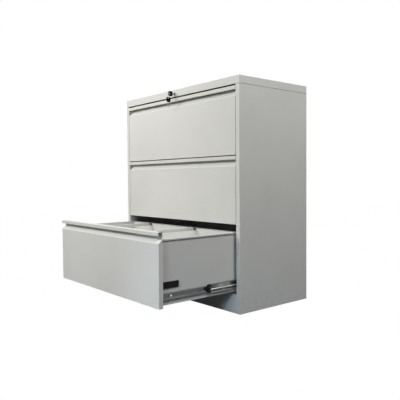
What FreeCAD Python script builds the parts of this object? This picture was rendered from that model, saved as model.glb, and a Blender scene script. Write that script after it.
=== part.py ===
import FreeCAD, Part
import math
import os
from FreeCAD import Vector

# Cabinet outside, in mm. The origin is the middle of its footprint on the floor.
WIDTH = 900.0
DEPTH = 450.0
HEIGHT = 1025.0
SHEET = 0.7
BEND = 0.9
EDGE = 1.5
FRONT = -DEPTH / 2
BACK = DEPTH / 2
SIDE = WIDTH / 2

# Carcass
COVER_H = 36.0
COVER_FLANGE = 7.0
PLINTH_H = 83.0
PLINTH_FLANGE = 26.0
POST_W = 22.0
POST_D = 45.0
POST_LIP = 9.0
SIDE_FLANGE = 20.0
FLOOR_STRIP = 30.0
UPRIGHT_IN = 65.0
UPRIGHT_D = 45.0
UPRIGHT_T = 1.0
RAIL_T = 1.2
LOCK_RAIL_D = 24.0
LOCK_RAIL_SHORT = 10.0
PAN_FRONT = 10.0
BACK_FLANGE = 6.0
BAY_X = SIDE - POST_W
SIDE_TOP = HEIGHT - COVER_H
BACK_Y = BACK - SHEET
UPRIGHT_Y = BACK - UPRIGHT_IN

# Drawers. A bay's own frame starts on the front plane, at the bottom edge of the drawer's front.
DRAWERS = ("bottom", "middle", "top")
REVEAL = 4.0
TOP_REVEAL = 6.0
SIDE_REVEAL = 2.0
FRONT_T = 19.0
FACE_DROP = 44.0
BEVEL_DROP = 28.0
LIP_H = 16.0
LIP_RETURN = 4.0
FRONT_FLANGE = 25.0
PANEL_RISE = 3.0
TRAY_Z = 9.0
TRAY_DROP = 29.0
TRAY_REAR = 28.3
HEM_W = 3.4
HEM_H = 6.0
TOP_FLANGE = 12.0
REAR_FLANGE = 5.0
PITCH = (SIDE_TOP - PLINTH_H - TOP_REVEAL) / len(DRAWERS)
FRONT_H = PITCH - REVEAL
FACE_H = FRONT_H - FACE_DROP
BEVEL_H = FRONT_H - BEVEL_DROP
FRONT_X = BAY_X - SIDE_REVEAL
TRAY_TOP = FRONT_H - TRAY_DROP
TRAY_Y = FRONT_T + SHEET
TRAY_L = DEPTH - TRAY_Y - TRAY_REAR

# Ball slides. S runs from the cabinet's upright towards the drawer.
SLIDE_S = 12.7
SLIDE_Z = 44.0
SLIDE_T = 1.2
SLIDE_BEND = 0.6
SLIDE_REAR = 19.0
SLIDE_STOP = 3.0
OUTER_Y = 25.0
OUTER_HALF = 22.5
OUTER_DEEP = 10.4
OUTER_LIP = 2.6
MID_Y = 48.0
MID_HALF = 17.6
MID_S = 2.6
MID_DEEP = 10.0
INNER_Y = 22.0
INNER_HALF = 12.8
INNER_S = 5.4
CAGE_T = 0.6
CAGE_AIR = 0.4
CAGE_END = 5.0
CAGE_OUT = 6.0
CAGE_SPARE = 30.0
BALL_AIR = 0.25
POCKET_AIR = 0.15
BALLS = 5
BALL_END = 15.0
TRAY_X = BAY_X - SLIDE_S
OUTER_L = DEPTH - OUTER_Y - SLIDE_REAR
SLIDE_END = OUTER_Y + OUTER_L - SLIDE_STOP
MID_L = SLIDE_END - MID_Y
INNER_L = SLIDE_END - INNER_Y
TRAVEL = OUTER_L
CAGE_L = SLIDE_END - TRAVEL / 2 - OUTER_Y - CAGE_SPARE
OUTER_CAGE_Y = OUTER_Y + TRAVEL / 4 + CAGE_END
INNER_CAGE_Y = MID_Y + TRAVEL / 4 - CAGE_OUT

# Release lever of each slide
LEVER_REAR = 195.0
LEVER_L = 40.0
LEVER_H = 14.0
LEVER_PIVOT = 22.0
LEVER_S = 6.2
LEVER_AIR = 0.4
RIVET_R = 2.0
LEVER_Y = SLIDE_END - LEVER_REAR

# Side pads, hanger bars and fixings
PAD_Y = 24.0
PAD_L = 78.0
PAD_Z = 75.0
PAD_H = 25.0
PAD_T = 4.0
BAR_X = (-240.0, 130.0)
BAR_W = 8.0
BAR_H = 15.0
BAR_T = 1.2
SCREW_R = 2.0
HOLE_AIR = 0.2
HEAD_R = 4.0
HEAD_H = 1.6
SHANK_L = 6.0
COUNTERSINK_R = 3.2
FRONT_SCREW_IN = 20.0
FRONT_SCREW_LOW = 45.0
FRONT_SCREW_DROP = 17.0
INNER_SCREW_IN = 64.0
INNER_SCREW_REAR = 98.0
POST_SCREW_IN = 36.0
FRONT_SCREW_X = FRONT_X - FRONT_SCREW_IN
FRONT_SCREW_TOP = FACE_H - FRONT_SCREW_DROP
FRONT_SCREW_Z = (FRONT_SCREW_LOW, (FRONT_SCREW_LOW + FRONT_SCREW_TOP) / 2, FRONT_SCREW_TOP)
INNER_SCREW_Y = (INNER_SCREW_IN, SLIDE_END - INNER_SCREW_REAR)
POST_SCREW_Y = FRONT + POST_SCREW_IN
UPRIGHT_SCREW_Y = UPRIGHT_Y + UPRIGHT_D / 2

# Lock. Its axis runs front to back.
LOCK_DOWN = 23.0
BEZEL_R = 10.5
BEZEL_T = 4.0
BARREL_R = 9.0
BARREL_L = 25.0
PLUG_R = 6.0
PLUG_AIR = 0.08
PLUG_OUT = 0.6
PLUG_RIM_R = 7.5
PLUG_RIM_T = 3.0
NUT_FLATS = 20.0
NUT_T = 5.0
ROD_R = 3.0
CRANK_R = 12.0
CRANK_W = 9.0
CRANK_T = 3.0
CRANK_IN = 22.0
PIN_R = 2.0
PIN_L = 12.0
SLOT_AIR = 0.6
LOCK_BAR_IN = 12.0
LOCK_BAR_T = 3.0
LOCK_BAR_W = 24.0
LOCK_BAR_TAIL = 86.0
STRIKE_DOWN = 47.0
STRIKE_OUT = 9.0
STRIKE_DROP = 12.0
STRIKE_W = 40.0
HOOK_DOWN = 36.0
HOOK_H = 16.0
HOOK_W = 16.0
HOOK_T = 2.5
HOOK_REACH = 13.0
GUIDE_H = 18.0
GUIDE_WALL = 10.0
GUIDE_FACE = 3.0
GUIDE_AIR = 0.3
GUIDE_UP = 113.0
ROD_GUIDE_FRONT = 105.0
ROD_GUIDE_REAR = 75.0
ROD_GUIDE_T = 12.0
LOCK_Z = HEIGHT - LOCK_DOWN
CRANK_Y = BACK - CRANK_IN
BAR_Y = BACK - LOCK_BAR_IN
STRIKE_Z = TRAY_TOP - STRIKE_DOWN
HOOK_Z = STRIKE_Z - HOOK_DOWN
LOCK_BAR_X = -CRANK_R * (1 + math.cos(math.pi / 4)) / 2

# Key
KEY_T = 2.0
KEY_W = 7.5
KEY_L = 24.0
KEY_OUT = 10.0
KEYWAY_AIR = 0.2
HEAD_SIZE = 25.0
HEAD_T = 2.6
HEAD_ROUND = 8.0
RING_HOLE_R = 3.25
RING_HOLE_IN = 6.0

PLANES = {
    "x": (Vector(0, 1, 0), Vector(0, 0, 1), Vector(1, 0, 0)),
    "y": (Vector(1, 0, 0), Vector(0, 0, 1), Vector(0, 1, 0)),
    "z": (Vector(1, 0, 0), Vector(0, 1, 0), Vector(0, 0, 1)),
}


def box(x0, x1, y0, y1, z0, z1):
    return Part.makeBox(x1 - x0, y1 - y0, z1 - z0, Vector(x0, y0, z0))


def rod(axis, at, radius, length):
    return Part.makeCylinder(radius, length, Vector(*at), PLANES[axis][2])


def prism(axis, start, stop, points):
    """A solid with straight edges: a polygon pushed along an axis."""
    u, v, n = PLANES[axis]
    corners = [u * p[0] + v * p[1] + n * start for p in points]
    return Part.Face(Part.makePolygon(corners + corners[:1])).extrude(n * (stop - start))


def shifted_path(path, t):
    """The path moved sideways by t, to its left where t is positive, with mitred corners."""
    moved = []
    for i, p in enumerate(path):
        runs = [path[j + 1] - path[j] for j in (i - 1, i) if 0 <= j < len(path) - 1]
        normals = [Vector(-d.y, d.x, 0).normalize() for d in runs]
        total = normals[0] + normals[-1]
        moved.append(p + total * (t / (1 + normals[0].dot(normals[-1]))))
    return moved


def rounded_path(path, left, right, place):
    """Edges along a path, each corner an arc: left and right are the radii of the two turns."""
    edges = []
    here = path[0]
    for a, p, b in zip(path, path[1:], path[2:]):
        d0 = (p - a).normalize()
        d1 = (b - p).normalize()
        radius = left if d0.x * d1.y - d0.y * d1.x > 0 else right
        half = d0.getAngle(d1) / 2
        inward = (d1 - d0).normalize()
        begin = p - d0 * (radius * math.tan(half))
        end = p + d1 * (radius * math.tan(half))
        middle = p + inward * (radius / math.cos(half) - radius)
        edges.append(Part.makeLine(place(here), place(begin)))
        edges.append(Part.Arc(place(begin), place(middle), place(end)).toShape())
        here = end
    return edges + [Part.makeLine(place(here), place(path[-1]))]


def bent(axis, start, stop, points, t, bend=BEND):
    """A bent sheet. The points run along one side of it, and t is its thickness to their left."""
    u, v, n = PLANES[axis]

    def place(p):
        return u * p.x + v * p.y + n * start

    path = [Vector(p[0], p[1], 0) for p in points]
    other = shifted_path(path, t)
    tight, wide = bend, bend + abs(t)
    left, right = (wide, tight) if t > 0 else (tight, wide)
    near = rounded_path(path, left, right, place)
    far = rounded_path(other, right, left, place)
    ends = [Part.makeLine(place(path[i]), place(other[i])) for i in (-1, 0)]
    wire = Part.Wire(near + ends[:1] + far[::-1] + ends[1:])
    return Part.Face(wire).extrude(n * (stop - start))


def softened(shape, radius, choose):
    """The shape with a fillet on every edge whose bounds the test accepts."""
    return shape.makeFillet(radius, [e for e in shape.Edges if choose(e.BoundBox)])


def one(*shapes):
    """Shapes welded into a single solid."""
    whole = shapes[0].multiFuse(list(shapes[1:])).removeSplitter()
    return whole.Solids[0] if len(whole.Solids) == 1 else whole


def group(shapes):
    return Part.makeCompound(shapes)


def mirrored(shape):
    return shape.mirror(Vector(0, 0, 0), Vector(1, 0, 0))


def pair(shape):
    """A right-hand piece and its left-hand twin."""
    return group([shape, mirrored(shape)])


def cut_all(shape, tools):
    return shape.cut(group(list(tools))) if tools else shape


# Carcass

def top_cover():
    low = HEIGHT - COVER_H
    outside = box(-SIDE, SIDE, FRONT, BACK, low, HEIGHT)
    outside = outside.makeFillet(EDGE, outside.Edges)
    inset = SHEET
    inside = box(-SIDE + inset, SIDE - inset, FRONT + inset, BACK - inset,
                 low + inset, HEIGHT - inset)
    inside = inside.makeFillet(EDGE - SHEET, inside.Edges)
    inset = SHEET + COVER_FLANGE
    mouth = box(-SIDE + inset, SIDE - inset, FRONT + inset, BACK - inset, low - 1, low + EDGE)
    return cut_all(outside, [inside, mouth, barrel_hole()])


def barrel_hole():
    return rod("y", (0, FRONT - 1, LOCK_Z), BARREL_R + HOLE_AIR, SHEET + RAIL_T + 2)


def side_panel():
    """The right-hand panel: skin, front post with its return, rear, top and floor flanges."""
    outside = box(BAY_X, SIDE, FRONT, BACK, 0, SIDE_TOP)
    outside = softened(outside, EDGE, lambda b: b.ZMax > 0.01)
    inset = SHEET
    inside = box(BAY_X + inset, SIDE - inset, FRONT + inset, BACK - inset,
                 inset, SIDE_TOP - inset)
    inside = softened(inside, EDGE - SHEET, lambda b: b.ZMax > 2 * SHEET)
    post_end = FRONT + POST_D
    window = box(BAY_X - 1, BAY_X + EDGE, post_end, BACK + 1, SHEET, SIDE_TOP - SHEET)
    rear = box(BAY_X - 1, SIDE - SIDE_FLANGE, BACK - EDGE, BACK + 1, SHEET, SIDE_TOP - SHEET)
    lip = box(BAY_X, BAY_X + POST_LIP, post_end - SHEET, post_end, SHEET, SIDE_TOP - SHEET)
    return cut_all(one(cut_all(outside, [inside, window, rear]), lip), slide_holes(POST_SCREW_Y))


def slide_holes(y):
    """Holes for the slide screws of all three drawers in the right post or upright."""
    return [rod("x", (BAY_X - 1, y, bay_z(i) + SLIDE_Z), SCREW_R + HOLE_AIR, POST_LIP)
            for i in range(len(DRAWERS))]


def bay_z(i):
    return PLINTH_H + REVEAL + PITCH * i


def back_panel():
    """A sheet between the side panels, standing on their floor flanges and on the base ring."""
    x = SIDE - EDGE
    low = SHEET
    top = SIDE_TOP - SHEET
    return bent("x", -x, x, [(BACK_Y - BACK_FLANGE, low), (BACK_Y, low), (BACK_Y, top),
                             (BACK_Y - BACK_FLANGE, top)], SHEET)


def base_frame():
    """The plinth plate and, in one piece with it, the flat ring that rests on the floor."""
    plate = bent("x", -BAY_X, BAY_X,
                 [(FRONT + PLINTH_FLANGE, 0), (FRONT, 0), (FRONT, PLINTH_H),
                  (FRONT + PLINTH_FLANGE, PLINTH_H)], -SHEET)
    rear = BACK_Y
    front = FRONT + PLINTH_FLANGE - FLOOR_STRIP / 3
    ring = box(-BAY_X, BAY_X, front, rear, 0, SHEET)
    hole = box(-BAY_X + FLOOR_STRIP, BAY_X - FLOOR_STRIP, front + FLOOR_STRIP,
               rear - FLOOR_STRIP, -1, SHEET + 1)
    return one(plate, ring.cut(hole))


def base_pan():
    """The floor of the bottom bay, on two legs that stand on the base frame's ring."""
    top = PLINTH_H - SHEET
    path = [(-BAY_X, SHEET), (-BAY_X, top), (BAY_X, top), (BAY_X, SHEET)]
    return bent("y", FRONT + PAN_FRONT, BACK_Y - BACK_FLANGE, path, -SHEET)


def rear_upright():
    path = [(SIDE - SHEET, UPRIGHT_Y), (BAY_X, UPRIGHT_Y), (BAY_X, UPRIGHT_Y + UPRIGHT_D),
            (SIDE - SHEET, UPRIGHT_Y + UPRIGHT_D)]
    channel = bent("z", SHEET, SIDE_TOP - SHEET, path, -UPRIGHT_T)
    return cut_all(channel, slide_holes(UPRIGHT_SCREW_Y))


def lock_rail():
    """A channel inside the cover's front skirt, which stiffens it behind the lock."""
    y = FRONT + SHEET
    low = SIDE_TOP + SHEET
    high = HEIGHT - SHEET
    x = SIDE - LOCK_RAIL_SHORT
    channel = bent("x", -x, x, [(y + LOCK_RAIL_D, low), (y, low), (y, high),
                                (y + LOCK_RAIL_D, high)], -RAIL_T)
    return channel.cut(barrel_hole())


# Slides, drawn on the right in the bay's frame

def slide_sheet(points, y, length, t):
    """A bent strip of a slide: points are S and height over the slide's middle line."""
    return bent("y", y, y + length, [(BAY_X - s, SLIDE_Z + z) for s, z in points], t, SLIDE_BEND)


def outer_rail():
    h, deep = OUTER_HALF, OUTER_DEEP
    path = [(deep, h - OUTER_LIP), (deep, h), (0, h), (0, -h), (deep, -h), (deep, OUTER_LIP - h)]
    rail = slide_sheet(path, OUTER_Y, OUTER_L, -SLIDE_T)
    return cut_all(rail, [countersunk(y - FRONT, HOLE_AIR) for y in (POST_SCREW_Y, UPRIGHT_SCREW_Y)])


def countersunk(y, air):
    """A countersunk screw through an outer rail, or with some air its hole."""
    head = Part.makeCone(COUNTERSINK_R + air, SCREW_R + air, SLIDE_T,
                         Vector(BAY_X - SLIDE_T, y, SLIDE_Z), Vector(1, 0, 0))
    return head.fuse(rod("x", (BAY_X, y, SLIDE_Z), SCREW_R + air, SHANK_L))


def mid_rail():
    h = MID_HALF
    path = [(MID_DEEP, h), (MID_S, h), (MID_S, -h), (MID_DEEP, -h)]
    return slide_sheet(path, MID_Y, MID_L, -SLIDE_T)


def inner_rail():
    h = INNER_HALF
    path = [(INNER_S, h), (SLIDE_S, h), (SLIDE_S, -h), (INNER_S, -h)]
    rail = slide_sheet(path, INNER_Y, INNER_L, SLIDE_T)
    holes = [inner_hole(y, SCREW_R) for y in INNER_SCREW_Y]
    return cut_all(rail, holes + [inner_hole(LEVER_Y + LEVER_PIVOT, RIVET_R)])


def inner_hole(y, radius):
    return rod("x", (TRAY_X - SHANK_L, y, SLIDE_Z), radius + HOLE_AIR, SLIDE_S + SHANK_L)


def ball_cage(s, deep, race_out, race_in, y):
    """A cage strip with its balls, between the raceways at two heights from the middle line."""
    middle = (race_out + race_in) / 2
    h = middle + CAGE_T / 2
    strip = slide_sheet([(deep, h), (s, h), (s, -h), (deep, -h)], y, CAGE_L, -CAGE_T)
    radius = (race_out - race_in) / 2 - BALL_AIR
    x = BAY_X - (s + CAGE_T + deep) / 2
    step = (CAGE_L - 2 * BALL_END) / (BALLS - 1)
    spots = [Vector(x, y + BALL_END + step * i, SLIDE_Z + side * middle)
             for i in range(BALLS) for side in (1, -1)]
    balls = [Part.makeSphere(radius, p) for p in spots]
    pockets = [rod("z", (p.x, p.y, p.z - CAGE_T), radius + POCKET_AIR, 2 * CAGE_T) for p in spots]
    return group([strip.cut(group(pockets))] + balls)


def outer_cage():
    return ball_cage(SLIDE_T + CAGE_AIR, MID_DEEP - 1, OUTER_HALF - SLIDE_T, MID_HALF,
                     OUTER_CAGE_Y)


def inner_cage():
    return ball_cage(MID_S + SLIDE_T + CAGE_AIR, SLIDE_S - SLIDE_T - CAGE_AIR,
                     MID_HALF - SLIDE_T, INNER_HALF, INNER_CAGE_Y)


def release_lever():
    """A plastic lever with a pointed nose, on a rivet in the inner rail's channel."""
    back = SLIDE_S - SLIDE_T - LEVER_AIR
    half = LEVER_H / 2
    y0, y1 = LEVER_Y, LEVER_Y + LEVER_L
    outline = [(y0, -half / 2), (y0 + half, -half), (y1 - half, -half), (y1, -half / 2),
               (y1, half / 2), (y1 - half, half), (y0 + half, half), (y0, half / 2)]
    plate = prism("x", BAY_X - back, BAY_X - LEVER_S, [(y, SLIDE_Z + z) for y, z in outline])
    hole = rod("x", (TRAY_X, LEVER_Y + LEVER_PIVOT, SLIDE_Z), RIVET_R + LEVER_AIR / 4, SLIDE_S)
    return plate.cut(hole)


# Drawer, drawn in the bay's frame

def drawer_front():
    """A pan with cheeks, a bevel on top and flanges behind, open at the back between them."""
    x = FRONT_X
    outside = prism("x", -x, x, [(0, 0), (FRONT_T, 0), (FRONT_T, BEVEL_H), (0, FACE_H)])
    outside = softened(outside, EDGE, lambda b: b.YMin < 0.01 and b.YMax < FRONT_T - 1
                       or b.XLength < 0.01 and b.YLength > FRONT_T - 1)
    slope = (BEVEL_H - FACE_H) / FRONT_T
    fall = SHEET * math.sqrt(1 + slope * slope)
    back = FRONT_T - SHEET
    hollow = prism("x", SHEET - x, x - SHEET,
                   [(SHEET, SHEET), (back, SHEET), (back, FACE_H + slope * back - fall),
                    (SHEET, FACE_H + slope * SHEET - fall)])
    window = box(FRONT_FLANGE - x, x - FRONT_FLANGE, back - 1, FRONT_T + 1,
                 FRONT_FLANGE, FACE_H - FRONT_FLANGE / 2)
    return cut_all(outside, [hollow, window] + front_holes())


def front_holes():
    return [rod("y", (side * FRONT_SCREW_X, FRONT_T - 2, z), SCREW_R + HOLE_AIR, SHANK_L)
            for side in (1, -1) for z in FRONT_SCREW_Z]


def pull_panel():
    """The sheet behind the front, folded forward and down at its top as the pull."""
    back = FRONT_T + SHEET
    path = [(back, PANEL_RISE), (back, FRONT_H), (0, FRONT_H), (0, FRONT_H - LIP_H),
            (LIP_RETURN, FRONT_H - LIP_H)]
    return cut_all(bent("x", -FRONT_X, FRONT_X, path, SHEET), front_holes())


def tray():
    """A floor sheet welded between two side sheets, whose hems turn outward and down."""
    in_x, end = TRAY_X - SHEET, TRAY_Y + TRAY_L
    floor = box(-in_x, in_x, TRAY_Y, end, TRAY_Z, TRAY_Z + SHEET)
    hem_x = TRAY_X + HEM_W + SHEET
    path = [(in_x, TRAY_Z), (in_x, TRAY_TOP), (hem_x, TRAY_TOP), (hem_x, TRAY_TOP - HEM_H)]
    holes = [inner_hole(y, SCREW_R) for y in INNER_SCREW_Y]
    holes.append(inner_hole(LEVER_Y + LEVER_PIVOT, RIVET_R))
    side = cut_all(bent("y", TRAY_Y, end, path, -SHEET, SLIDE_BEND), holes)
    return group([floor, side, mirrored(side)])


def tray_front():
    """The wall between the tray's sides at the front, with a flange on top."""
    x = TRAY_X - SHEET
    path = [(TRAY_Y, TRAY_Z + SHEET), (TRAY_Y, TRAY_TOP), (TRAY_Y + TOP_FLANGE, TRAY_TOP)]
    return cut_all(bent("x", -x, x, path, -SHEET), front_holes())


def drawer_back():
    """The rear wall between the tray's sides, with the strike that the lock bar hooks."""
    x = TRAY_X - SHEET
    y = TRAY_Y + TRAY_L
    floor = TRAY_Z + SHEET
    wall = bent("x", -x, x, [(y - REAR_FLANGE, floor), (y, floor), (y, TRAY_TOP),
                             (y - REAR_FLANGE, TRAY_TOP)], SHEET)
    at = LOCK_BAR_X - STRIKE_W / 2
    strike = bent("x", at, at + STRIKE_W,
                  [(y - SHEET / 2, STRIKE_Z), (y + STRIKE_OUT, STRIKE_Z),
                   (y + STRIKE_OUT, STRIKE_Z - STRIKE_DROP)], -RAIL_T)
    return one(wall, strike)


def hanger_bars():
    """Two inverted channels, front to back, resting on the flanges of the tray's end walls."""
    bars = []
    y0 = TRAY_Y + SHEET
    y1 = TRAY_Y + TRAY_L
    under = TRAY_TOP + BAR_T - BAR_H
    for x in BAR_X:
        a, b = x - BAR_W / 2, x + BAR_W / 2
        strip = box(a, b, y0, y1, TRAY_TOP, TRAY_TOP + BAR_T)
        y2, y3 = TRAY_Y + TOP_FLANGE + 1, y1 - REAR_FLANGE - 1
        legs = bent("y", y2, y3, [(a, under), (a, TRAY_TOP + BAR_T), (b, TRAY_TOP + BAR_T),
                                  (b, under)], -BAR_T, SLIDE_BEND)
        bars.append(one(strip, legs))
    return group(bars)


def side_pad():
    pad = box(TRAY_X, TRAY_X + PAD_T, PAD_Y, PAD_Y + PAD_L, PAD_Z, PAD_Z + PAD_H)
    return softened(pad, EDGE, lambda b: b.XMin > TRAY_X + PAD_T - 0.01)


def pan_screw(axis, at, way):
    """A pan-head screw whose head stands on the point at, its shank going the way given."""
    along = PLANES[axis][2] * way
    shank = Part.makeCylinder(SCREW_R, SHANK_L, Vector(*at), along)
    head = Part.makeCylinder(HEAD_R, HEAD_H, Vector(*at), along * -1)
    rim = (Vector(*at) - along * HEAD_H).dot(PLANES[axis][2])
    near = {"x": lambda b: abs(b.XMin - rim) + abs(b.XMax - rim) < 0.01,
            "y": lambda b: abs(b.YMin - rim) + abs(b.YMax - rim) < 0.01}[axis]
    return softened(head, HEAD_H / 2, near).fuse(shank).removeSplitter().Solids[0]


def drawer_screws():
    """Screws through the front wall and the inner rails, and the rivets of the levers."""
    web = TRAY_X + SLIDE_T
    screws = [pan_screw("y", (side * FRONT_SCREW_X, TRAY_Y + SHEET, z), -1)
              for side in (1, -1) for z in FRONT_SCREW_Z]
    at_side = [pan_screw("x", (web, y, SLIDE_Z), -1) for y in INNER_SCREW_Y]
    rivet_y = LEVER_Y + LEVER_PIVOT
    rivet = rod("x", (TRAY_X - HEAD_H, rivet_y, SLIDE_Z), RIVET_R, HEAD_H + SLIDE_S - LEVER_S)
    rim = rod("x", (BAY_X - LEVER_S, rivet_y, SLIDE_Z), HEAD_R, LEVER_AIR * 2)
    at_side.append(rivet.fuse(rim).removeSplitter().Solids[0])
    return group(screws + at_side + [mirrored(s) for s in at_side])


# Lock

def lock_barrel():
    bezel = rod("y", (0, FRONT - BEZEL_T, LOCK_Z), BEZEL_R, BEZEL_T)
    bezel = softened(bezel, EDGE, lambda b: b.YMax < FRONT - BEZEL_T + 0.01)
    body = rod("y", (0, FRONT, LOCK_Z), BARREL_R, BARREL_L)
    bore = rod("y", (0, FRONT - BEZEL_T - 1, LOCK_Z), PLUG_R + PLUG_AIR, BARREL_L + BEZEL_T + 2)
    return one(bezel, body).cut(bore)


def lock_plug():
    face = FRONT - BEZEL_T - PLUG_OUT
    end = FRONT + BARREL_L
    body = rod("y", (0, face, LOCK_Z), PLUG_R, end - face)
    rim = rod("y", (0, end, LOCK_Z), PLUG_RIM_R, PLUG_RIM_T)
    air = KEYWAY_AIR
    keyway = box(-KEY_T / 2 - air, KEY_T / 2 + air, face - 1, face + KEY_L - KEY_OUT + air,
                 LOCK_Z - KEY_W / 2 - air, LOCK_Z + KEY_W / 2 + air)
    return one(body, rim).cut(keyway)


def lock_nut():
    y = FRONT + SHEET + RAIL_T
    radius = NUT_FLATS / math.sqrt(3)
    corners = [(radius * math.cos(math.pi * k / 3), LOCK_Z + radius * math.sin(math.pi * k / 3))
               for k in range(6)]
    nut = prism("y", y, y + NUT_T, corners)
    return nut.cut(rod("y", (0, y - 1, LOCK_Z), BARREL_R + HOLE_AIR / 2, NUT_T + 2))


def crank_spot():
    """Where the crank pin stands at rest, 45 degrees below the lock's axis on the left."""
    reach = CRANK_R * math.cos(math.pi / 4)
    return -reach, LOCK_Z - reach


def lock_rod():
    """The rod from the plug to the back of the cabinet, with a crank and pin at its end."""
    start = FRONT + BARREL_L + PLUG_RIM_T
    shaft = rod("y", (0, start, LOCK_Z), ROD_R, CRANK_Y + CRANK_T - start)
    x, z = crank_spot()
    arm = box(-CRANK_R, 0, CRANK_Y, CRANK_Y + CRANK_T, -CRANK_W / 2, CRANK_W / 2)
    arm.rotate(Vector(0, 0, 0), Vector(0, 1, 0), -45)
    arm.translate(Vector(0, 0, LOCK_Z))
    knobs = [rod("y", (u, CRANK_Y, v), CRANK_W / 2, CRANK_T) for u, v in ((0, LOCK_Z), (x, z))]
    pin = rod("y", (x, CRANK_Y, z), PIN_R, CRANK_T + PIN_L)
    return one(shaft, arm, *knobs, pin)


def lock_bar():
    """The upright bar that the crank lifts, with a hook for each drawer's strike."""
    x, slot_z = crank_spot()
    y1 = BAR_Y + LOCK_BAR_T
    half = LOCK_BAR_W / 2
    low = bay_z(0) + HOOK_Z - LOCK_BAR_TAIL
    plate = box(LOCK_BAR_X - half, LOCK_BAR_X + half, BAR_Y, y1, low, slot_z + half / 2)
    hooks = []
    for i in range(len(DRAWERS)):
        z = bay_z(i) + HOOK_Z
        tip = BAR_Y - HOOK_REACH
        hooks.append(bent("x", LOCK_BAR_X - HOOK_W / 2, LOCK_BAR_X + HOOK_W / 2,
                          [(BAR_Y + LOCK_BAR_T / 2, z), (tip, z), (tip, z + HOOK_H)], -HOOK_T))
    reach = PIN_R + SLOT_AIR
    slot = box(-CRANK_R - reach, x + reach, BAR_Y - 1, y1 + 1, slot_z - reach, slot_z + reach)
    return one(plate, *hooks).cut(slot)


def lock_guides():
    """Plastic blocks: three that the lock bar slides in, and two that the rod turns in."""
    half = LOCK_BAR_W / 2 + GUIDE_AIR
    blocks = []
    for i in range(len(DRAWERS)):
        z = bay_z(i) + GUIDE_UP
        block = box(LOCK_BAR_X - half - GUIDE_WALL, LOCK_BAR_X + half + GUIDE_WALL,
                    BAR_Y - GUIDE_AIR - GUIDE_FACE, BACK_Y - SHEET, z, z + GUIDE_H)
        slot = box(LOCK_BAR_X - half, LOCK_BAR_X + half, BAR_Y - GUIDE_AIR,
                   BAR_Y + LOCK_BAR_T + GUIDE_AIR, z - 1, z + GUIDE_H + 1)
        blocks.append(block.cut(slot))
    for y in (FRONT + ROD_GUIDE_FRONT, BACK - ROD_GUIDE_REAR):
        block = box(-GUIDE_WALL, GUIDE_WALL, y, y + ROD_GUIDE_T, LOCK_Z - GUIDE_WALL, HEIGHT - SHEET)
        blocks.append(block.cut(rod("y", (0, y - 1, LOCK_Z), ROD_R + GUIDE_AIR, ROD_GUIDE_T + 2)))
    return group(blocks)


# Key, drawn lying front to back, its head towards the front, the blade's root at 0.

def key_blade():
    tip = KEY_W / 2
    return prism("x", -KEY_T / 2, KEY_T / 2,
                 [(0, -tip), (KEY_L - tip, -tip), (KEY_L, 0), (KEY_L - tip, tip), (0, tip)])


def key_head():
    half = HEAD_SIZE / 2
    head = box(-HEAD_T / 2, HEAD_T / 2, -HEAD_SIZE, 0, -half, half)
    head = softened(head, HEAD_ROUND, lambda b: b.XLength > HEAD_T / 2)
    hole = rod("x", (-HEAD_T, RING_HOLE_IN - HEAD_SIZE, 0), RING_HOLE_R, 2 * HEAD_T)
    head = head.cut(hole)
    return softened(head, HEAD_T / 4, lambda b: b.XLength < 0.01)


def in_lock(key):
    root = FRONT - BEZEL_T - PLUG_OUT - KEY_OUT
    return key.translated(Vector(0, root, LOCK_Z))


def save(name, shape):
    shape.exportStep("parts/" + name + ".step")


def main():
    os.makedirs("parts", exist_ok=True)
    save("top_cover", top_cover())
    save("side_panel_right", side_panel())
    save("side_panel_left", mirrored(side_panel()))
    save("back_panel", back_panel())
    save("base_frame", base_frame())
    save("base_pan", base_pan())
    save("rear_upright_right", rear_upright())
    save("rear_upright_left", mirrored(rear_upright()))
    save("lock_rail", lock_rail())

    # How far each moving set follows its drawer, as a share of the drawer's travel.
    sets = [
        (0.0, {"outer_rails": pair(outer_rail())}),
        (0.25, {"outer_cages": pair(outer_cage())}),
        (0.5, {"mid_rails": pair(mid_rail())}),
        (0.75, {"inner_cages": pair(inner_cage())}),
        (1.0, {"inner_rails": pair(inner_rail()), "release_levers": pair(release_lever()),
               "front": drawer_front(), "pull_panel": pull_panel(), "tray": tray(),
               "tray_front": tray_front(), "back": drawer_back(), "hanger_bars": hanger_bars(),
               "side_pads": pair(side_pad()), "screws": drawer_screws()}),
    ]
    for i, drawer in enumerate(DRAWERS):
        out = TRAVEL if drawer == "bottom" else 0.0
        for share, pieces in sets:
            for name, shape in pieces.items():
                place = Vector(0, FRONT - share * out, bay_z(i))
                save("drawer_" + drawer + "_" + name, shape.translated(place))

    screws = pair(group([countersunk(y - FRONT, 0).removeSplitter().Solids[0]
                         for y in (POST_SCREW_Y, UPRIGHT_SCREW_Y)]))
    save("slide_screws", group([screws.translated(Vector(0, FRONT, bay_z(i)))
                                for i in range(len(DRAWERS))]))

    save("lock_barrel", lock_barrel())
    save("lock_plug", lock_plug())
    save("lock_nut", lock_nut())
    save("lock_rod", lock_rod())
    save("lock_bar", lock_bar())
    save("lock_guides", lock_guides())
    save("key_blade", in_lock(key_blade()))
    save("key_head", in_lock(key_head()))


main()
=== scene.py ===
import math

import bmesh
import bpy
import numpy as np
from mathutils import Matrix, Vector


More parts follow.
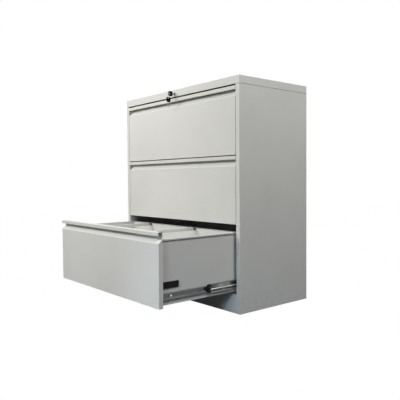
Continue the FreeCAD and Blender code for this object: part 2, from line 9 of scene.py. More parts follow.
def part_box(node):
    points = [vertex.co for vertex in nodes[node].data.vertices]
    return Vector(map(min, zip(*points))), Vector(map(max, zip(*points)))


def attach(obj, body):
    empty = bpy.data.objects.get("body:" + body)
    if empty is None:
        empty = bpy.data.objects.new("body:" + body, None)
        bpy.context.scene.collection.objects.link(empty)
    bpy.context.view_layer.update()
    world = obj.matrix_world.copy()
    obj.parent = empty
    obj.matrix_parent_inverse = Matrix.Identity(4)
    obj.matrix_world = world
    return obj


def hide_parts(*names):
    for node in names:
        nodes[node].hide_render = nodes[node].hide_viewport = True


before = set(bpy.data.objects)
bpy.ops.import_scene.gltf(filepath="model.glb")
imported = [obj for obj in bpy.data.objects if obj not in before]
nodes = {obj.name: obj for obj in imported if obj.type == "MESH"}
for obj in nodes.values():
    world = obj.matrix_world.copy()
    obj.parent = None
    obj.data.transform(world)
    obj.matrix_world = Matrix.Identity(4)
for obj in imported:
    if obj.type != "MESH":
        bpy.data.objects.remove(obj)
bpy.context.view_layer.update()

# Places read from the frame, in metres
DRAWERS = ("bottom", "middle", "top")
MID_RAILS = [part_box("drawer_%s_mid_rails" % d) for d in DRAWERS]
RAIL_Z = (MID_RAILS[0][0].z + MID_RAILS[0][1].z) / 2
RAIL_PITCH = MID_RAILS[1][0].z - MID_RAILS[0][0].z
SEAM_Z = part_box("top_cover")[0].z

# Keys and their ring, in metres; a start of bites and a tip as shares of the blade
HEAD_SIZE = 0.025
HEAD_T = 0.0026
HOLE_R = 0.00325
HOLE_IN = 0.006
BLADE_L = 0.024
BLADE_W = 0.0075
BLADE_T = 0.002
BITES = 5
BITE_DEEP = 0.0007
BITE_FROM = 0.12
BITE_BACK = 0.0009
BITE_STEEP = 1.6
TIP_SHARE = 0.16
TIP_LEAST = 0.15
RING_R = 0.011
RING_WIRE = 0.00075
RING_AIR = 0.0002

# Trim on the slides, the hanger bars, the fronts and the back, in metres; a dome's flat as a share
BEAD_Z = 0.0066
BEAD_HALF = 0.0052
BEAD_RISE = 0.0003
BEAD_SINK = 0.0002
CAP_L = 0.012
CAP_AHEAD = 0.0015
CAP_DEEP = 0.0072
CAP_WRAP = 0.00025
CAP_STRIP = 0.0011
BAR_HALF = 0.004
BACK_FLANGE = 0.006
CLIP_L = 0.009
CLIP_HALF = 0.0043
CLIP_WALL = 0.0014
CLIP_DROP = 0.0125
CLIP_SHOULDER = 0.004
CLIP_CROWN = 0.0003
CLIP_AIR = 0.0002
BUMPER_UP = 0.223
BUMPER_R = 0.0026
BUMPER_H = 0.0012
RIVETS = 6
RIVET_IN = 0.009
RIVET_END = 0.06
RIVET_R = 0.0034
RIVET_H = 0.0014
DOME_FLAT = 0.02
SHARP_ANGLE = math.radians(38)

# Wear, painted highlight and painted shade: how far they reach from edges, joints, the seam and the
# floor, then their colours
PAINT_EDGE = 0.0034
SMALL_EDGE = 0.0012
CREVICE_SHADE_REACH = 0.016
SEAM_HALF = 0.0022
SCUFF_TOP = 0.09
SPECK = (140, 142, 140)
# edges made paler: wear and painted highlight
EDGE_WEAR_AND_HIGHLIGHT_PAINT = (238, 239, 235)
# painted shade, laid into joints and recesses
CREVICE_SHADE = (30, 27, 23)
SEAM = (84, 84, 80)
SCUFF = (96, 98, 98)
SPANGLE = (205, 208, 212)
# zinc edges made paler: wear and painted highlight
EDGE_WEAR_AND_HIGHLIGHT_ZINC = (214, 215, 214)
HAZE = (150, 150, 146)

# Painted shade and painted highlight lines along the slides: height over the middle line, half width
# and colour
# dark lines are painted shade in the slide's grooves, the pale one a painted highlight
SLIDE_SHADE_AND_HIGHLIGHT_LINES = ((0.0075, 0.011, (54, 57, 54)), (-0.0092, 0.0062, (52, 54, 52)),
          (-0.0028, 0.0022, (232, 233, 232)))
# painted highlights along the inner rails' edges
RAIL_HIGHLIGHT_LINES = ((-0.0092, 0.0022, (150, 152, 150)), (0.0112, 0.0012, (140, 142, 140)))


# Node helpers

def srgb(r, g, b):
    """A display colour, 0 to 255, as the linear one that a socket takes."""
    def linear(c):
        c /= 255
        return c / 12.92 if c <= 0.04045 else ((c + 0.055) / 1.055) ** 2.4
    return linear(r), linear(g), linear(b), 1.0


def add(tree, kind, links=None, **values):
    """A node with its settings and socket values; links are socket name to the output it takes."""
    n = tree.nodes.new("ShaderNode" + kind)
    for key, value in values.items():
        if hasattr(n, key):
            setattr(n, key, value)
        else:
            n.inputs[key.replace("_", " ")].default_value = value
    for key, out in (links or {}).items():
        tree.links.new(out, n.inputs[key])
    return n


def calc(tree, op, a, b=0.0):
    """A Math node: a and b are outputs or plain numbers."""
    n = tree.nodes.new("ShaderNodeMath")
    n.operation = op
    for socket, value in zip(n.inputs, (a, b)):
        if isinstance(value, (int, float)):
            socket.default_value = value
        else:
            tree.links.new(value, socket)
    return n.outputs[0]


def band(tree, value, low, high, to_low=0.0, to_high=1.0):
    """A clamped Map Range from low..high to to_low..to_high."""
    n = add(tree, "MapRange", {"Value": value}, clamp=True)
    for name, v in (("From Min", low), ("From Max", high), ("To Min", to_low), ("To Max", to_high)):
        n.inputs[name].default_value = v
    return n.outputs["Result"]


def mix(tree, share, a, b):
    """A colour Mix node, from a at share 0 to b at 1; each is an output or a constant. Its colours are
    inputs 6 and 7 and output 2."""
    n = tree.nodes.new("ShaderNodeMix")
    n.data_type = "RGBA"
    for i, value in ((0, share), (6, a), (7, b)):
        if isinstance(value, bpy.types.NodeSocket):
            tree.links.new(value, n.inputs[i])
        else:
            n.inputs[i].default_value = value
    return n.outputs[2]


def noise(tree, where, scale, detail=2.0, rough=0.5):
    """A noise texture's value, for the most part between 0.3 and 0.7."""
    n = add(tree, "TexNoise", {"Vector": where}, Scale=scale, Detail=detail, Roughness=rough)
    return n.outputs["Fac"]


def stretched(tree, where, x, y, z):
    """The coordinates times a factor for each axis, so that a texture runs in streaks."""
    return add(tree, "Mapping", {"Vector": where}, Scale=(x, y, z)).outputs["Vector"]


def height_of(tree, where):
    """The coordinates' Z."""
    return add(tree, "SeparateXYZ", {"Vector": where}).outputs["Z"]


def apart(tree, a, b):
    """How far two values lie from each other."""
    return calc(tree, "ABSOLUTE", calc(tree, "SUBTRACT", a, b))


# Effects that several finishes share

def new_group(name, given, gives):
    """An empty group with one input and one output, each a socket's name and kind."""
    g = bpy.data.node_groups.new(name, "ShaderNodeTree")
    g.interface.new_socket(given[0], in_out="INPUT", socket_type="NodeSocket" + given[1])
    g.interface.new_socket(gives[0], in_out="OUTPUT", socket_type="NodeSocket" + gives[1])
    start = g.nodes.new("NodeGroupInput")
    end = g.nodes.new("NodeGroupOutput")
    return g, start.outputs[given[0]], end.inputs[gives[0]]


def edge_group():
    """How sharply the surface turns within a small radius, 0 on flats to 1 on edges."""
    g, radius, mask = new_group("edge_mask", ("Radius", "Float"), ("Mask", "Float"))
    bevel = add(g, "Bevel", {"Radius": radius}, samples=6)
    flat = add(g, "NewGeometry")
    dot = add(g, "VectorMath", operation="DOT_PRODUCT")
    g.links.new(bevel.outputs["Normal"], dot.inputs[0])
    g.links.new(flat.outputs["Normal"], dot.inputs[1])
    g.links.new(band(g, dot.outputs["Value"], 0.995, 0.9), mask)
    return g


def crevice_group():
    """How closed in a spot is within the reach, 0 in the open to 1 deep in a joint."""
    g, reach, mask = new_group("crevice_mask", ("Reach", "Float"), ("Mask", "Float"))
    near = add(g, "AmbientOcclusion", {"Distance": reach}, samples=8)
    g.links.new(band(g, near.outputs["AO"], 0.58, 0.2), mask)
    return g


def peel_group():
    """The fine orange peel of powder coat over slow waves of the sheet, as a normal."""
    g, where, normal = new_group("powder_peel", ("Vector", "Vector"), ("Normal", "Vector"))
    coarse = noise(g, where, scale=420.0, detail=1.0)
    fine = noise(g, where, scale=1600.0, detail=2.0)
    waves = noise(g, where, scale=9.0, detail=1.0)
    height = calc(g, "ADD", coarse, calc(g, "MULTIPLY", fine, 0.5))
    small = add(g, "Bump", {"Height": height}, Strength=0.35, Distance=0.00012)
    large = add(g, "Bump", {"Height": waves, "Normal": small.outputs["Normal"]},
                Strength=0.5, Distance=0.0006)
    g.links.new(large.outputs["Normal"], normal)
    return g


EDGE_MASK = edge_group()
CREVICE = crevice_group()
PEEL = peel_group()


def use(tree, group, links=None, **values):
    """A group placed in a material, with its own values and links; gives its output."""
    n = tree.nodes.new("ShaderNodeGroup")
    n.node_tree = group
    for key, value in values.items():
        n.inputs[key].default_value = value
    for key, out in (links or {}).items():
        tree.links.new(out, n.inputs[key])
    return n.outputs[0]


def worn_and_highlit_edges(tree, tone, radius, share, pale):
    """The tone made paler along edges, as wear and as painted highlight."""
    edge = use(tree, EDGE_MASK, Radius=radius)
    return mix(tree, calc(tree, "MULTIPLY", edge, share), tone, pale)


# Finishes

def begin(name):
    """A material with its shader and the coordinates of the part's own frame."""
    m = bpy.data.materials.new(name)
    m.use_nodes = True
    tree = m.node_tree
    tree.nodes.clear()
    shader = add(tree, "BsdfPrincipled")
    out = add(tree, "OutputMaterial")
    tree.links.new(shader.outputs["BSDF"], out.inputs["Surface"])
    where = add(tree, "TexCoord").outputs["Object"]
    return m, tree, shader, where


def join(tree, shader, tone, rough, normal):
    """Joins a finish's colour, roughness and normal to its shader."""
    tree.links.new(tone, shader.inputs["Base Color"])
    tree.links.new(rough, shader.inputs["Roughness"])
    tree.links.new(normal, shader.inputs["Normal"])


def bumped(tree, height, strength, distance):
    """The normal of a surface that a height raises by the distance, in metres."""
    bump = add(tree, "Bump", {"Height": height}, Strength=strength, Distance=distance)
    return bump.outputs["Normal"]


def paint(name, colour, shade, scuffs=0.0, seam=None, crevice_shade=0.94, gloss=0.24):
    """Powder coat: slow drift of tone, orange peel, edges made paler as wear and as painted highlight,
    painted shade darkening the joints and recesses, scuffs near the floor and a thin dark seam at the
    height where the cover meets the sides. The gloss is the shader's specular level."""
    m, tree, shader, where = begin(name)
    drift = noise(tree, where, scale=2.6, detail=3.0)
    tone = mix(tree, band(tree, drift, 0.35, 0.65), colour, shade)
    speck = noise(tree, where, scale=900.0, detail=1.0)
    tone = mix(tree, band(tree, speck, 0.62, 0.72, 0.0, 0.05), tone, srgb(*SPECK))
    # Edges paler, as wear and as painted highlight.
    tone = worn_and_highlit_edges(tree, tone, PAINT_EDGE, 0.55, srgb(*EDGE_WEAR_AND_HIGHLIGHT_PAINT))
    # Painted shade: ambient occlusion darkens the joints and recesses.
    closed_in = use(tree, CREVICE, Reach=CREVICE_SHADE_REACH)
    tone = mix(tree, calc(tree, "MULTIPLY", closed_in, crevice_shade), tone, srgb(*CREVICE_SHADE))
    height = height_of(tree, where)
    if seam:
        off = apart(tree, height, seam)
        tone = mix(tree, band(tree, off, SEAM_HALF, SEAM_HALF / 2, 0.0, 0.4), tone, srgb(*SEAM))
    if scuffs:
        low = band(tree, height, SCUFF_TOP, 0.0)
        marks = noise(tree, stretched(tree, where, 30.0, 30.0, 160.0), 1.0, detail=4.0, rough=0.7)
        worn = calc(tree, "MULTIPLY", low, band(tree, marks, 0.52, 0.7, 0.0, scuffs))
        tone = mix(tree, worn, tone, srgb(*SCUFF))
    smear = noise(tree, stretched(tree, where, 5.0, 5.0, 9.0), 1.0, detail=4.0)
    rough = band(tree, smear, 0.3, 0.7, 0.36, 0.5)
    join(tree, shader, tone, rough, use(tree, PEEL, {"Vector": where}))
    shader.inputs["Specular IOR Level"].default_value = gloss
    return m


def rail_height(tree, where):
    """Height over the middle line of the nearest slide, from the drawers' even pitch."""
    up = calc(tree, "SUBTRACT", height_of(tree, where), RAIL_Z - RAIL_PITCH / 2)
    share = calc(tree, "FRACT", calc(tree, "DIVIDE", up, RAIL_PITCH))
    return calc(tree, "MULTIPLY", calc(tree, "SUBTRACT", share, 0.5), RAIL_PITCH)


def zinc(name, colour, dark, rough, lines=()):
    """Zinc-plated strip: rolling streaks along the slide, faint spangle, edges made paler as wear and
    as painted highlight, and lines of painted shade and painted highlight along it, broken here and
    there."""
    m, tree, shader, where = begin(name)
    streaks = noise(tree, stretched(tree, where, 900.0, 6.0, 900.0), 1.0, detail=3.0)
    tone = mix(tree, band(tree, streaks, 0.35, 0.65), colour, dark)
    spangle = add(tree, "TexVoronoi", {"Vector": where}, Scale=260.0).outputs["Color"]
    grey = add(tree, "RGBToBW", {"Color": spangle}).outputs["Val"]
    tone = mix(tree, band(tree, grey, 0.2, 0.8, 0.0, 0.1), tone, srgb(*SPANGLE))
    # Edges paler, as wear and as painted highlight.
    tone = worn_and_highlit_edges(tree, tone, SMALL_EDGE, 0.6, srgb(*EDGE_WEAR_AND_HIGHLIGHT_ZINC))
    smear = noise(tree, stretched(tree, where, 60.0, 14.0, 60.0), 1.0, detail=3.0)
    # Lines of painted shade and painted highlight along the slides.
    for middle, half, shade in lines:
        off = apart(tree, rail_height(tree, where), middle)
        line = calc(tree, "MULTIPLY", band(tree, off, half, half / 2), band(tree, smear, 0.2, 0.5))
        tone = mix(tree, line, tone, srgb(*shade))
    join(tree, shader, tone, band(tree, streaks, 0.3, 0.7, rough, rough + 0.16),
         bumped(tree, streaks, 0.25, 0.00008))
    shader.inputs["Metallic"].default_value = 1.0
    return m


def nickel(name, colour, rough):
    """Polished nickel with hairline scratches and a little haze."""
    m, tree, shader, where = begin(name)
    hairs = noise(tree, stretched(tree, where, 2600.0, 300.0, 2600.0), 1.0, detail=2.0)
    haze = noise(tree, where, scale=90.0, detail=3.0)
    tone = mix(tree, band(tree, haze, 0.4, 0.7, 0.0, 0.35), colour, srgb(*HAZE))
    join(tree, shader, tone, band(tree, hairs, 0.4, 0.7, rough, rough + 0.2),
         bumped(tree, hairs, 0.15, 0.00005))
    shader.inputs["Metallic"].default_value = 1.0
    return m


def plastic(name, colour, worn, grain):
    """Moulded plastic: spark-eroded grain, paler rubbed edges."""
    m, tree, shader, where = begin(name)
    pits = noise(tree, where, scale=grain, detail=3.0, rough=0.6)
    cloud = noise(tree, where, scale=40.0, detail=2.0)
    tone = mix(tree, band(tree, cloud, 0.4, 0.7, 0.0, 0.5), colour, worn)
    tone = worn_and_highlit_edges(tree, tone, SMALL_EDGE, 0.5, worn)
    join(tree, shader, tone, band(tree, pits, 0.3, 0.7, 0.5, 0.7), bumped(tree, pits, 0.4, 0.00008))
    shader.inputs["Specular IOR Level"].default_value = 0.1
    return m


GREY = paint("grey_powder_coat", srgb(208, 208, 204), srgb(203, 203, 199))
GREY_TOP = paint("grey_powder_coat_top", srgb(207, 207, 203), srgb(202, 202, 198), seam=SEAM_Z)
GREY_LOW = paint("grey_powder_coat_sides", srgb(207, 207, 203), srgb(201, 202, 198), 0.35, SEAM_Z)
GREY_BASE = paint("grey_powder_coat_base", srgb(207, 207, 203), srgb(201, 202, 198), 0.35, gloss=0.04)
# The trays take little of the painted shade in their joints.
GREY_TRAY = paint("grey_powder_coat_trays", srgb(208, 208, 204), srgb(203, 203, 199), crevice_shade=0.2)
ZINC = zinc("zinc_strip", srgb(158, 160, 160), srgb(120, 122, 122), 0.3)
MID_ZINC = zinc("zinc_strip_painted_lines", srgb(158, 160, 160), srgb(120, 122, 122), 0.3, SLIDE_SHADE_AND_HIGHLIGHT_LINES)
BRIGHT_ZINC = zinc("bright_zinc_screws", srgb(224, 226, 226), srgb(196, 198, 198), 0.3)
DARK_ZINC = zinc("dark_zinc_strip", srgb(84, 86, 84), srgb(68, 70, 68), 0.4, RAIL_HIGHLIGHT_LINES)
NICKEL = nickel("nickel", srgb(205, 205, 200), 0.14)
# A dark nickel for the lock's plug.
LOCK_NICKEL = nickel("dark_nickel", srgb(58, 53, 50), 0.3)
BLACK = plastic("black_plastic", srgb(8, 8, 8), srgb(24, 24, 24), 1800.0)
CLIP_GREY = plastic("clip_plastic", srgb(108, 109, 108), srgb(134, 135, 133), 1500.0)
NATURAL = plastic("natural_nylon", srgb(206, 204, 194), srgb(224, 222, 214), 1500.0)

# The first word that a node's name holds gives its finish, and the rest are grey.
BY_WORD = (
    ("pads", BLACK), ("levers", BLACK), ("inner_cages", BLACK), ("key_head", BLACK),
    ("lock_guides", NATURAL), ("inner_rails", DARK_ZINC), ("mid_rails", MID_ZINC), ("_rails", ZINC),
    ("outer_cages", ZINC), ("screws", BRIGHT_ZINC), ("lock_rod", ZINC), ("lock_barrel", NICKEL),
    ("lock_bar", ZINC), ("lock_nut", ZINC), ("key_", NICKEL), ("lock_plug", LOCK_NICKEL),
    ("base_frame", GREY_BASE), ("side_panel", GREY_LOW), ("top_cover", GREY_TOP), ("_tray", GREY_TRAY),
)

for name, obj in nodes.items():
    obj.data.materials.clear()
    obj.data.materials.append(next((m for word, m in BY_WORD if word in name), GREY))


# Surfaces

def sheet(points, around=False, along=False, capped=False):
    """Vertices and faces of a grid of points, rows by columns. Around joins the last column to
    the first, along the last row to the first, and capped closes the end rows with a face each."""
    rows, columns = points.shape[:2]
    index = np.arange(rows * columns).reshape(rows, columns)
    r = np.arange(rows if along else rows - 1)
    c = np.arange(columns if around else columns - 1)
    r1, c1 = (r + 1) % rows, (c + 1) % columns
    corners = [index[np.ix_(i, j)] for i, j in ((r, c), (r, c1), (r1, c1), (r1, c))]
    faces = np.stack(corners, -1).reshape(-1, 4).tolist()
    if capped:
        faces += [index[0].tolist(), index[-1].tolist()]
    return points.reshape(-1, 3), faces


def pushed(x, z, ends):
    """A closed profile of x and z, carried straight from the first y of the ends to the second."""
    y = np.array(ends)[:, None]
    return sheet(np.stack([x + 0 * y, y + 0 * x, z + 0 * y], -1), around=True, capped=True)


def circle(count):
    """Cosine and sine of evenly spaced angles, once round."""
    t = np.linspace(0, 2 * np.pi, count, endpoint=False)
    return np.cos(t), np.sin(t)


def ring_shape(centre, radius, wire):
    """A torus round Y: a circle of the wire's radius carried round a circle of the ring's."""
    cu, su = (a[:, None] for a in circle(64))
    cv, sv = (a[None, :] for a in circle(14))
    reach = radius + wire * cv
    points = np.stack([reach * cu, wire * sv + 0 * cu, reach * su], -1)
    return sheet(points + np.array(centre), around=True, along=True)


def laid(points, root, length_way, width_way):
    """A key's own length, width and thickness turned into the frame, from its blade's root."""
    axes = np.array([length_way, width_way, (1.0, 0.0, 0.0)])
    return points @ axes + np.array(root)


def key_head_shape(root, length_way, width_way):
    """A rounded square with a hole: each ray runs from the hole's circle to a fourth-power
    ellipse, and a section over that run gives the thin web, the raised rim and the hole's edge."""
    c, s = circle(72)
    power = (np.abs(c) ** 4 + np.abs(s) ** 4) ** -0.25
    rim = np.stack([HEAD_SIZE / 2 + HEAD_SIZE / 2 * power * c, HEAD_SIZE / 2 * power * s], -1)
    hole = np.stack([HEAD_SIZE - HOLE_IN + HOLE_R * c, HOLE_R * s], -1)
    run = np.array([0.0, 0.06, 0.14, 0.2, 0.72, 0.8, 0.94, 1.0])
    rise = np.array([0.3, 0.48, 0.48, 0.36, 0.36, 0.5, 0.5, 0.3]) * HEAD_T
    run = np.concatenate([run, run[::-1]])[:, None, None]
    rise = np.concatenate([rise, -rise[::-1]])[:, None, None]
    flat = hole * (1 - run) + rim * run
    points = np.concatenate([flat, rise + 0 * flat[..., :1]], -1)
    return sheet(laid(points, root, length_way, width_way), around=True, along=True)


def key_blade_shape(root, length_way, width_way):
    """A flat bar pushed along its length, milled with a groove on each side; its lower edge is cut
    by a clipped sine wave of bites and both edges close in to the tip."""
    u = np.linspace(0, 1, 60)[:, None]
    taper = np.clip((1 - u) / TIP_SHARE, TIP_LEAST, 1)
    wave = np.clip(np.sin(u * BITES * 2 * np.pi) * BITE_STEEP, -1, 1)
    bites = wave * BITE_DEEP * (u > BITE_FROM)
    top = BLADE_W / 2 * taper
    low = -(BLADE_W / 2 - BITE_BACK + bites) * taper
    across = np.array([0, 0.3, 0.36, 0.5, 0.56, 1, 1, 0.56, 0.5, 0.36, 0.3, 0])[None, :]
    thick = np.array([1, 1, 0.5, 0.5, 1, 1, -1, -1, -0.5, -0.5, -1, -1])[None, :] * BLADE_T / 2
    width = low + (top - low) * across
    points = np.stack([-u * BLADE_L + 0 * across, width, thick + 0 * u], -1)
    return sheet(laid(points, root, length_way, width_way), around=True, capped=True)


def dome_shape(centre, way, radius, height):
    """A round head: a quarter ellipse turned about the way it faces, with a small flat on top."""
    way = Vector(way)
    side = way.orthogonal().normalized()
    across = way.cross(side)
    t = np.linspace(0, np.pi / 2, 7)[:, None]
    c, s = circle(20)
    out = radius * np.cos(t) + DOME_FLAT * radius
    up = height * np.sin(t)
    points = (np.array(side) * (out * c)[..., None] + np.array(across) * (out * s)[..., None]
              + np.array(way) * (up + 0 * c)[..., None])
    return sheet(points + np.array(centre), around=True, capped=True)


def bead_shape(face, way, ends, middle):
    """Two raised beads along a slide: squared cosines of the height over the slide's middle line."""
    z = np.linspace(-2 * BEAD_Z, 2 * BEAD_Z, 45)
    bump = sum(np.cos(np.clip((z - line) / BEAD_HALF, -1, 1) * np.pi / 2) ** 2
               for line in (BEAD_Z, -BEAD_Z))
    x = np.concatenate([face + way * BEAD_RISE * bump, [face - way * BEAD_SINK] * 2])
    z = np.concatenate([z, [2 * BEAD_Z, -2 * BEAD_Z]]) + middle
    return pushed(x, z, ends)


def cap_shape(lo, hi, way):
    """A cap on a slide's front end: the slide's three-sided section, grown by a thin wrap outside and
    kept within its strip inside, pushed along it from just ahead of the end."""
    face = hi.x if way > 0 else lo.x
    x = face + way * np.array([-CAP_DEEP, CAP_WRAP, CAP_WRAP, -CAP_DEEP])
    z = np.array([hi.z + CAP_WRAP, hi.z + CAP_WRAP, lo.z - CAP_WRAP, lo.z - CAP_WRAP])
    wall = CAP_WRAP + CAP_STRIP
    in_x = x - way * wall * np.array([0, 1, 1, 0])
    in_z = z - wall * np.array([1, 1, -1, -1])
    return pushed(np.concatenate([x, in_x[::-1]]), np.concatenate([z, in_z[::-1]]),
                  (lo.y - CAP_AHEAD, lo.y + CAP_L))


def clip_shape(x, rear, top):
    """A saddle over a hanger bar, pushed front to back: outside and inside, a half ellipse on two
    straight legs."""
    t = np.linspace(0, np.pi, 13)
    leg = [-CLIP_DROP, -CLIP_SHOULDER]

    def arch(half, crown):
        return (np.concatenate([[half] * 2, half * np.cos(t), [-half] * 2]),
                np.concatenate([leg, crown * np.sin(t), leg[::-1]]))

    out_x, out_z = arch(CLIP_HALF + CLIP_WALL, CLIP_WALL)
    in_x, in_z = arch(CLIP_HALF, CLIP_CROWN)
    return pushed(np.concatenate([out_x, in_x[::-1]]) + x,
                  np.concatenate([out_z, in_z[::-1]]) + top + CLIP_AIR, (rear - CLIP_L, rear))


# Pieces of the scene's own

def piece(name, shapes, material, body, stands_for=()):
    """One object out of closed shapes, smooth but for its sharp edges, riding on a body."""
    starts = np.cumsum([0] + [len(v) for v, f in shapes])
    verts = np.concatenate([v for v, f in shapes])
    faces = [[i + int(start) for i in face] for (v, f), start in zip(shapes, starts) for face in f]
    mesh = bpy.data.meshes.new(name)
    mesh.from_pydata(verts.tolist(), [], faces)
    shell = bmesh.new()
    shell.from_mesh(mesh)
    bmesh.ops.recalc_face_normals(shell, faces=shell.faces)
    shell.to_mesh(mesh)
    shell.free()
    mesh.polygons.foreach_set("use_smooth", [True] * len(mesh.polygons))
    mesh.set_sharp_from_angle(angle=SHARP_ANGLE)
    mesh.materials.append(material)
    obj = bpy.data.objects.new(name, mesh)
    bpy.context.scene.collection.objects.link(obj)
    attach(obj, body)
    if stands_for:
        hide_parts(*stands_for)


def make_keys():
    """The key in the lock, and the ring and spare key that hang from it, clear of its turning."""
    lo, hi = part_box("key_head")
    axis_z = (lo.z + hi.z) / 2
    head_at = (0.0, hi.y, axis_z)
    piece("key_grip", [key_head_shape(head_at, (0, -1, 0), (0, 0, 1))], BLACK, "lock_core",
          ("key_head",))
    off = RING_R * math.sqrt(0.5)
    hang_y = lo.y + HOLE_IN
    piece("key_ring", [ring_shape((-off, hang_y, axis_z - off), RING_R, RING_WIRE)], NICKEL,
          "cabinet")
    hole_z = axis_z - off - RING_R - (HOLE_R - RING_WIRE - RING_AIR)
    root = (-off, hang_y, hole_z - (HEAD_SIZE - HOLE_IN))
    piece("spare_key_grip", [key_head_shape(root, (0, 0, 1), (0, 1, 0))], BLACK, "cabinet")
    piece("spare_key_shank", [key_blade_shape(root, (0, 0, 1), (0, 1, 0))], NICKEL, "cabinet")


def make_slide_beads():
    """Beads along the outer faces of each drawer's pair of middle rails."""
    for drawer, (lo, hi) in zip(DRAWERS, MID_RAILS):
        middle = (lo.z + hi.z) / 2
        sides = [bead_shape(face, way, (lo.y, hi.y), middle) for face, way in ((hi.x, 1), (lo.x, -1))]
        piece(drawer + "_slide_beads", sides, MID_ZINC, drawer + "_mid_rails")


def make_slide_caps():
    """A black cap on the front end of each middle rail."""
    for drawer, (lo, hi) in zip(DRAWERS, MID_RAILS):
        caps = [cap_shape(lo, hi, way) for way in (1, -1)]
        piece(drawer + "_slide_caps", caps, BLACK, drawer + "_mid_rails")


def make_bar_clips():
    """A clip at the rear end of each hanger bar, ahead of the back's flange."""
    for drawer in DRAWERS:
        lo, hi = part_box("drawer_%s_hanger_bars" % drawer)
        clips = [clip_shape(x, hi.y - BACK_FLANGE, hi.z) for x in (lo.x + BAR_HALF, hi.x - BAR_HALF)]
        piece(drawer + "_bar_clips", clips, CLIP_GREY, drawer + "_drawer")


def make_cheek_bumpers():
    """A button on each cheek of a drawer's front, towards the posts."""
    for drawer in DRAWERS:
        lo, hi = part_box("drawer_%s_front" % drawer)
        y = (lo.y + hi.y) / 2
        domes = [dome_shape((face, y, lo.z + BUMPER_UP), (way, 0, 0), BUMPER_R, BUMPER_H)
                 for face, way in ((hi.x, 1), (lo.x, -1))]
        piece(drawer + "_cheek_bumpers", domes, NATURAL, drawer + "_drawer")


def make_back_rivets():
    """A row of rivets up the rear flange of each side panel."""
    domes = []
    for side in ("left", "right"):
        lo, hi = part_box("side_panel_" + side)
        x = lo.x + RIVET_IN if side == "left" else hi.x - RIVET_IN
        for z in np.linspace(lo.z + RIVET_END, hi.z - RIVET_END, RIVETS):
            domes.append(dome_shape((x, hi.y, z), (0, 1, 0), RIVET_R, RIVET_H))
    piece("back_rivets", domes, ZINC, "cabinet")


make_keys()
make_slide_beads()
make_slide_caps()
make_bar_clips()
make_cheek_bumpers()
make_back_rivets()


# Stage: a pale floor, a white surround, soft light

def white_to_the_eye(tree, plain, white, share, end):
    """Gives the plain shader to light, and for a share the white one to what the camera sees,
    straight, in a mirror or through glass."""
    path = add(tree, "LightPath")
    seen = calc(tree, "MAXIMUM", path.outputs["Is Camera Ray"], path.outputs["Is Glossy Ray"])
    seen = calc(tree, "MAXIMUM", seen, path.outputs["Is Transmission Ray"])
    both = add(tree, "MixShader")
    tree.links.new(calc(tree, "MULTIPLY", seen, share), both.inputs["Fac"])
    tree.links.new(plain.outputs[0], both.inputs[1])
    tree.links.new(white.outputs[0], both.inputs[2])
    out = add(tree, end)
    tree.links.new(both.outputs["Shader"], out.inputs["Surface"])


def make_floor():
    """A pale floor just under the part, white to the eye, with the part's shadow kept in part."""
    m = bpy.data.materials.new("stage_floor")
    m.use_nodes = True
    tree = m.node_tree
    tree.nodes.clear()
    matt = add(tree, "BsdfDiffuse", Color=(0.04, 0.04, 0.05, 1.0))
    white = add(tree, "Emission", Color=(1.0, 1.0, 1.0, 1.0), Strength=1.06)
    white_to_the_eye(tree, matt, white, 0.94, "OutputMaterial")
    half, drop = 9.0, 0.0005
    mesh = bpy.data.meshes.new("floor")
    mesh.from_pydata([(-half, -half, 0), (half, -half, 0), (half, half, 0), (-half, half, 0)],
                     [], [(0, 1, 2, 3)])
    mesh.materials.append(m)
    obj = bpy.data.objects.new("floor", mesh)
    obj.location.z = -drop
    bpy.context.scene.collection.objects.link(obj)


def make_world():
    """A dim sky of cool light, white to the eye."""
    world = bpy.data.worlds.new("studio")
    bpy.context.scene.world = world
    world.use_nodes = True
    tree = world.node_tree
    tree.nodes.clear()
    sky = add(tree, "Background", Color=(0.86, 0.94, 1.0, 1.0), Strength=0.1)
    white = add(tree, "Background", Color=(1.0, 1.0, 1.0, 1.0), Strength=1.0)
    white_to_the_eye(tree, sky, white, 1.0, "OutputWorld")


def lamp(name, kind, at, target, power, colour, **settings):
    """A lamp at a place, turned towards a target."""
    data = bpy.data.lights.new(name, kind)
    data.energy = power
    data.color = colour
    for key, value in settings.items():
        setattr(data, key, value)
    obj = bpy.data.objects.new(name, data)
    obj.location = at
    obj.rotation_euler = (Vector(target) - Vector(at)).to_track_quat("-Z", "Y").to_euler()
    bpy.context.scene.collection.objects.link(obj)
    return obj


def area_light(name, at, target, size, power, colour=(1.0, 1.0, 1.0)):
    """A soft lamp whose mirror image is left off, because it would burn out on the flat top cover."""
    obj = lamp(name, "AREA", at, target, power, colour, shape="RECTANGLE", size=size[0], size_y=size[1])
    obj.visible_glossy = False


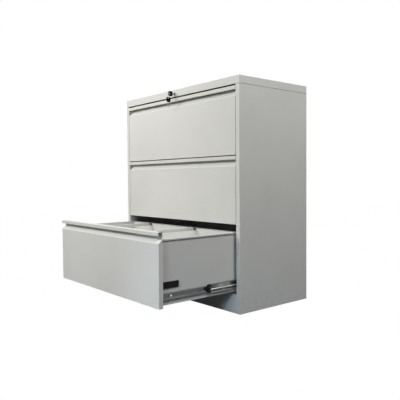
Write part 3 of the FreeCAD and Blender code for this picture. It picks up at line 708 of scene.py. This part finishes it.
def spot_light(name, at, target, angle, power, colour):
    """A lamp with a soft round beam, for one corner of the part."""
    lamp(name, "SPOT", at, target, power, colour, spot_size=math.radians(angle), spot_blend=1.0,
         shadow_soft_size=0.3)


def make_camera():
    """The photograph's camera: place, yaw, pitch, roll and lens as fitted to its straight edges."""
    at = (1.9811, -1.7124, 0.5793)
    yaw, pitch, roll = (math.radians(a) for a in (50.35, -2.26, -0.48))
    ahead = Vector((-math.sin(yaw) * math.cos(pitch), math.cos(yaw) * math.cos(pitch),
                    math.sin(pitch)))
    right = Vector((math.cos(yaw), math.sin(yaw), 0.0))
    up = right.cross(ahead)
    turned = math.cos(roll) * right + math.sin(roll) * up
    up = math.cos(roll) * up - math.sin(roll) * right
    data = bpy.data.cameras.new("camera")
    data.sensor_width = 36.0
    data.lens = 45.02
    data.clip_end = 60.0
    obj = bpy.data.objects.new("camera", data)
    spin = Matrix((turned, up, -ahead)).transposed().to_4x4()
    obj.matrix_world = Matrix.Translation(at) @ spin
    bpy.context.scene.collection.objects.link(obj)
    bpy.context.scene.camera = obj


make_floor()
make_world()
make_camera()
area_light("key", (-1.1, -2.6, 2.3), (0.0, -0.2, 0.85), (1.3, 1.1), 80.0, (1.0, 0.975, 0.945))
area_light("fill", (1.2, -2.9, 2.0), (0.1, -0.2, 0.7), (1.0, 1.0), 22.0, (0.95, 0.98, 1.0))
area_light("top", (0.2, -1.4, 3.0), (0.0, -0.2, 0.6), (1.4, 1.2), 9.0)
area_light("side", (1.95, -0.1, 2.8), (0.45, 0.0, 1.05), (0.8, 0.8), 55.0, (1.0, 0.985, 0.965))
area_light("rear", (-0.9, 3.4, 1.2), (0.0, 0.2, 0.6), (1.4, 1.2), 50.0)
spot_light("brow", (-1.5, -2.2, 1.9), (-0.3, -0.23, 1.0), 24.0, 34.0, (1.0, 0.9, 0.84))
spot_light("low", (1.1, -2.8, 0.8), (0.38, -0.25, 0.03), 13.0, 140.0, (0.66, 0.84, 1.0))
bpy.context.scene.view_settings.view_transform = "Standard"
